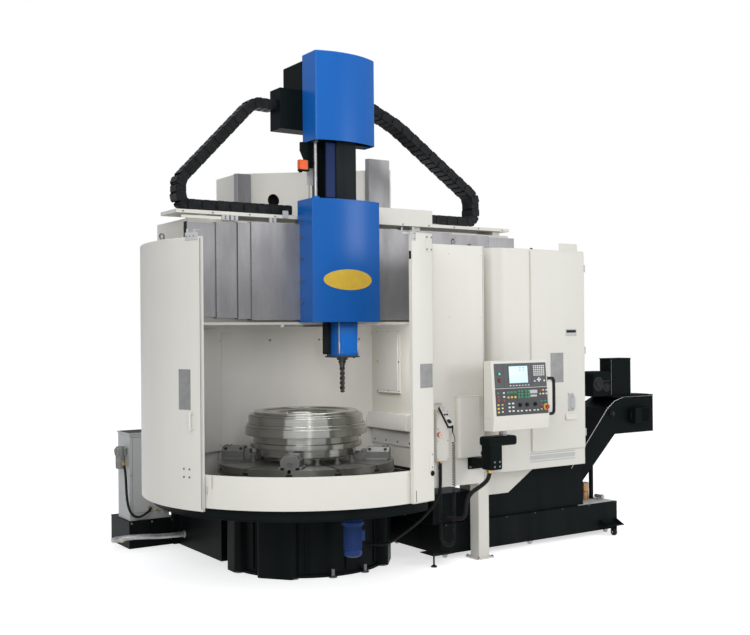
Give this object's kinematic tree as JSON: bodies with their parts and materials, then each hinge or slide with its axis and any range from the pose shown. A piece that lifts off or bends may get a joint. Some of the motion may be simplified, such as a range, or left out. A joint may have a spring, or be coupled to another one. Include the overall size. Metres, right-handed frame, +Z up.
{
  "type": "cnc vertical lathe",
  "caption": "Vertical turning machine: round table behind curved guards, crossrail with a sliding saddle and vertical ram, tool magazine, control pendant and chip conveyor.",
  "frame": {"origin": "centre line of the turning table, on the floor under the base", "axes": "+X right along the crossrail, +Y to the back, +Z up"},
  "size_m": [6.6199, 4.2189, 5.785],
  "materials": {
    "white_paint": "satin cream paint",
    "blue_paint": "gloss blue paint",
    "black_paint": "near-black green paint",
    "grey_cover": "brushed grey sheet",
    "table_steel": "turned and ground steel",
    "inner_paint": "grey inner guard paint",
    "work_steel": "machined ring",
    "ram_steel": "dark ground ram",
    "rod_chrome": "hard chrome",
    "drive_blue": "blue machine paint",
    "chain_black": "black link plastic",
    "hose_rubber": "black rubber",
    "hose_grey": "silver-grey reinforced hose",
    "cord_black": "coiled black cord",
    "hand_plastic": "black and pale plastic",
    "cool_grey": "light grey paint",
    "handle_black": "black grip",
    "caster_steel": "steel caster",
    "filter_grey": "cast aluminium"
  },
  "bodies": {
    "machine": {"base_casting": "black_paint", "chip_ring": "black_paint", "apron": "white_paint", "left_guard": "inner_paint", "right_post": "white_paint", "right_guard": "white_paint", "rear_guard": "inner_paint", "curved_cover": "white_paint", "control_box": "white_paint", "column": "white_paint", "column_covers": "grey_cover", "crossrail": "white_paint", "cable_tray": "white_paint", "way_cover_ends": "grey_cover", "magazine_cabinet": "white_paint", "magazine_door": "white_paint", "chip_chute": "white_paint", "coolant_tank": "black_paint", "tank_feet": "caster_steel", "chip_conveyor": "black_paint", "conveyor_drive": "black_paint", "support_post": "white_paint", "pendant_arm": "black_paint", "hydraulic_tank": "black_paint", "hydraulic_cabinet": "cool_grey", "oil_filter": "filter_grey", "spindle_gearmotor": "drive_blue", "cable_chain_left": "chain_black", "cable_chain_right": "chain_black", "handset": "hand_plastic", "handset_cord": "cord_black", "control_conduit": "hose_rubber", "pendant_cable": "hose_rubber", "return_hose": "hose_grey", "filter_hose": "hose_rubber"},
    "turntable": {"table": "table_steel", "jaws": "table_steel", "workpiece": "work_steel"},
    "saddle": {"saddle_cover": "blue_paint", "saddle_plate": "black_paint", "trip_plate": "cool_grey", "way_cover_left_1": "grey_cover", "way_cover_right_1": "grey_cover"},
    "cover_left_2": {"way_cover_left_2": "grey_cover"},
    "cover_left_3": {"way_cover_left_3": "grey_cover"},
    "cover_right_2": {"way_cover_right_2": "grey_cover"},
    "ram_body": {"ram": "ram_steel", "ram_nose": "blue_paint", "ram_side_strip": "blue_paint", "balance_rod": "rod_chrome", "ram_head_cover": "blue_paint", "ram_motor_housing": "black_paint", "junction_box": "black_paint", "switch_bracket": "black_paint"},
    "tool": {"tool_holder": "table_steel", "drill": "table_steel"},
    "door": {"left_door": "white_paint", "door_handle": "white_paint"},
    "pendant": {"pendant_housing": "white_paint", "pendant_handle": "handle_black"}
  },
  "joints": [
    {"name": "table_spin", "type": "hinge", "parent": "machine", "child": "turntable", "pos_m": [0, 0, 1], "axis": [0, 0, 1], "continuous": true},
    {"name": "saddle_slide", "type": "slide", "parent": "machine", "child": "saddle", "axis": [1, 0, 0], "range_m": [-0.6, 0.8], "deforming": ["cable_chain_left", "cable_chain_right"]},
    {"name": "cover_left_2_slide", "type": "slide", "parent": "machine", "child": "cover_left_2", "axis": [1, 0, 0], "range_m": [-0.46, 0.61]},
    {"name": "cover_left_3_slide", "type": "slide", "parent": "machine", "child": "cover_left_3", "axis": [1, 0, 0], "range_m": [-0.245, 0.325]},
    {"name": "cover_right_2_slide", "type": "slide", "parent": "machine", "child": "cover_right_2", "axis": [1, 0, 0], "range_m": [-0.305, 0.405]},
    {"name": "ram_slide", "type": "slide", "parent": "saddle", "child": "ram_body", "axis": [0, 0, 1], "range_m": [-0.15, 0.3]},
    {"name": "tool_spin", "type": "hinge", "parent": "ram_body", "child": "tool", "pos_m": [0.493, 0, 2.3], "axis": [0, 0, 1], "continuous": true},
    {"name": "door_turn", "type": "hinge", "parent": "machine", "child": "door", "pos_m": [0, 0, 0.9], "axis": [0, 0, 1], "range_deg": [0, 69.5]},
    {"name": "pendant_swivel_joint", "type": "hinge", "parent": "machine", "child": "pendant", "pos_m": [1.627, -1.53, 1.4], "axis": [0, 0, 1], "range_deg": [-90, 20]}
  ],
  "couplings": [
    {"joint": "cover_left_2_slide", "follows": "saddle_slide", "ratio": 0.75},
    {"joint": "cover_left_3_slide", "follows": "saddle_slide", "ratio": 0.4},
    {"joint": "cover_right_2_slide", "follows": "saddle_slide", "ratio": 0.5}
  ]
}
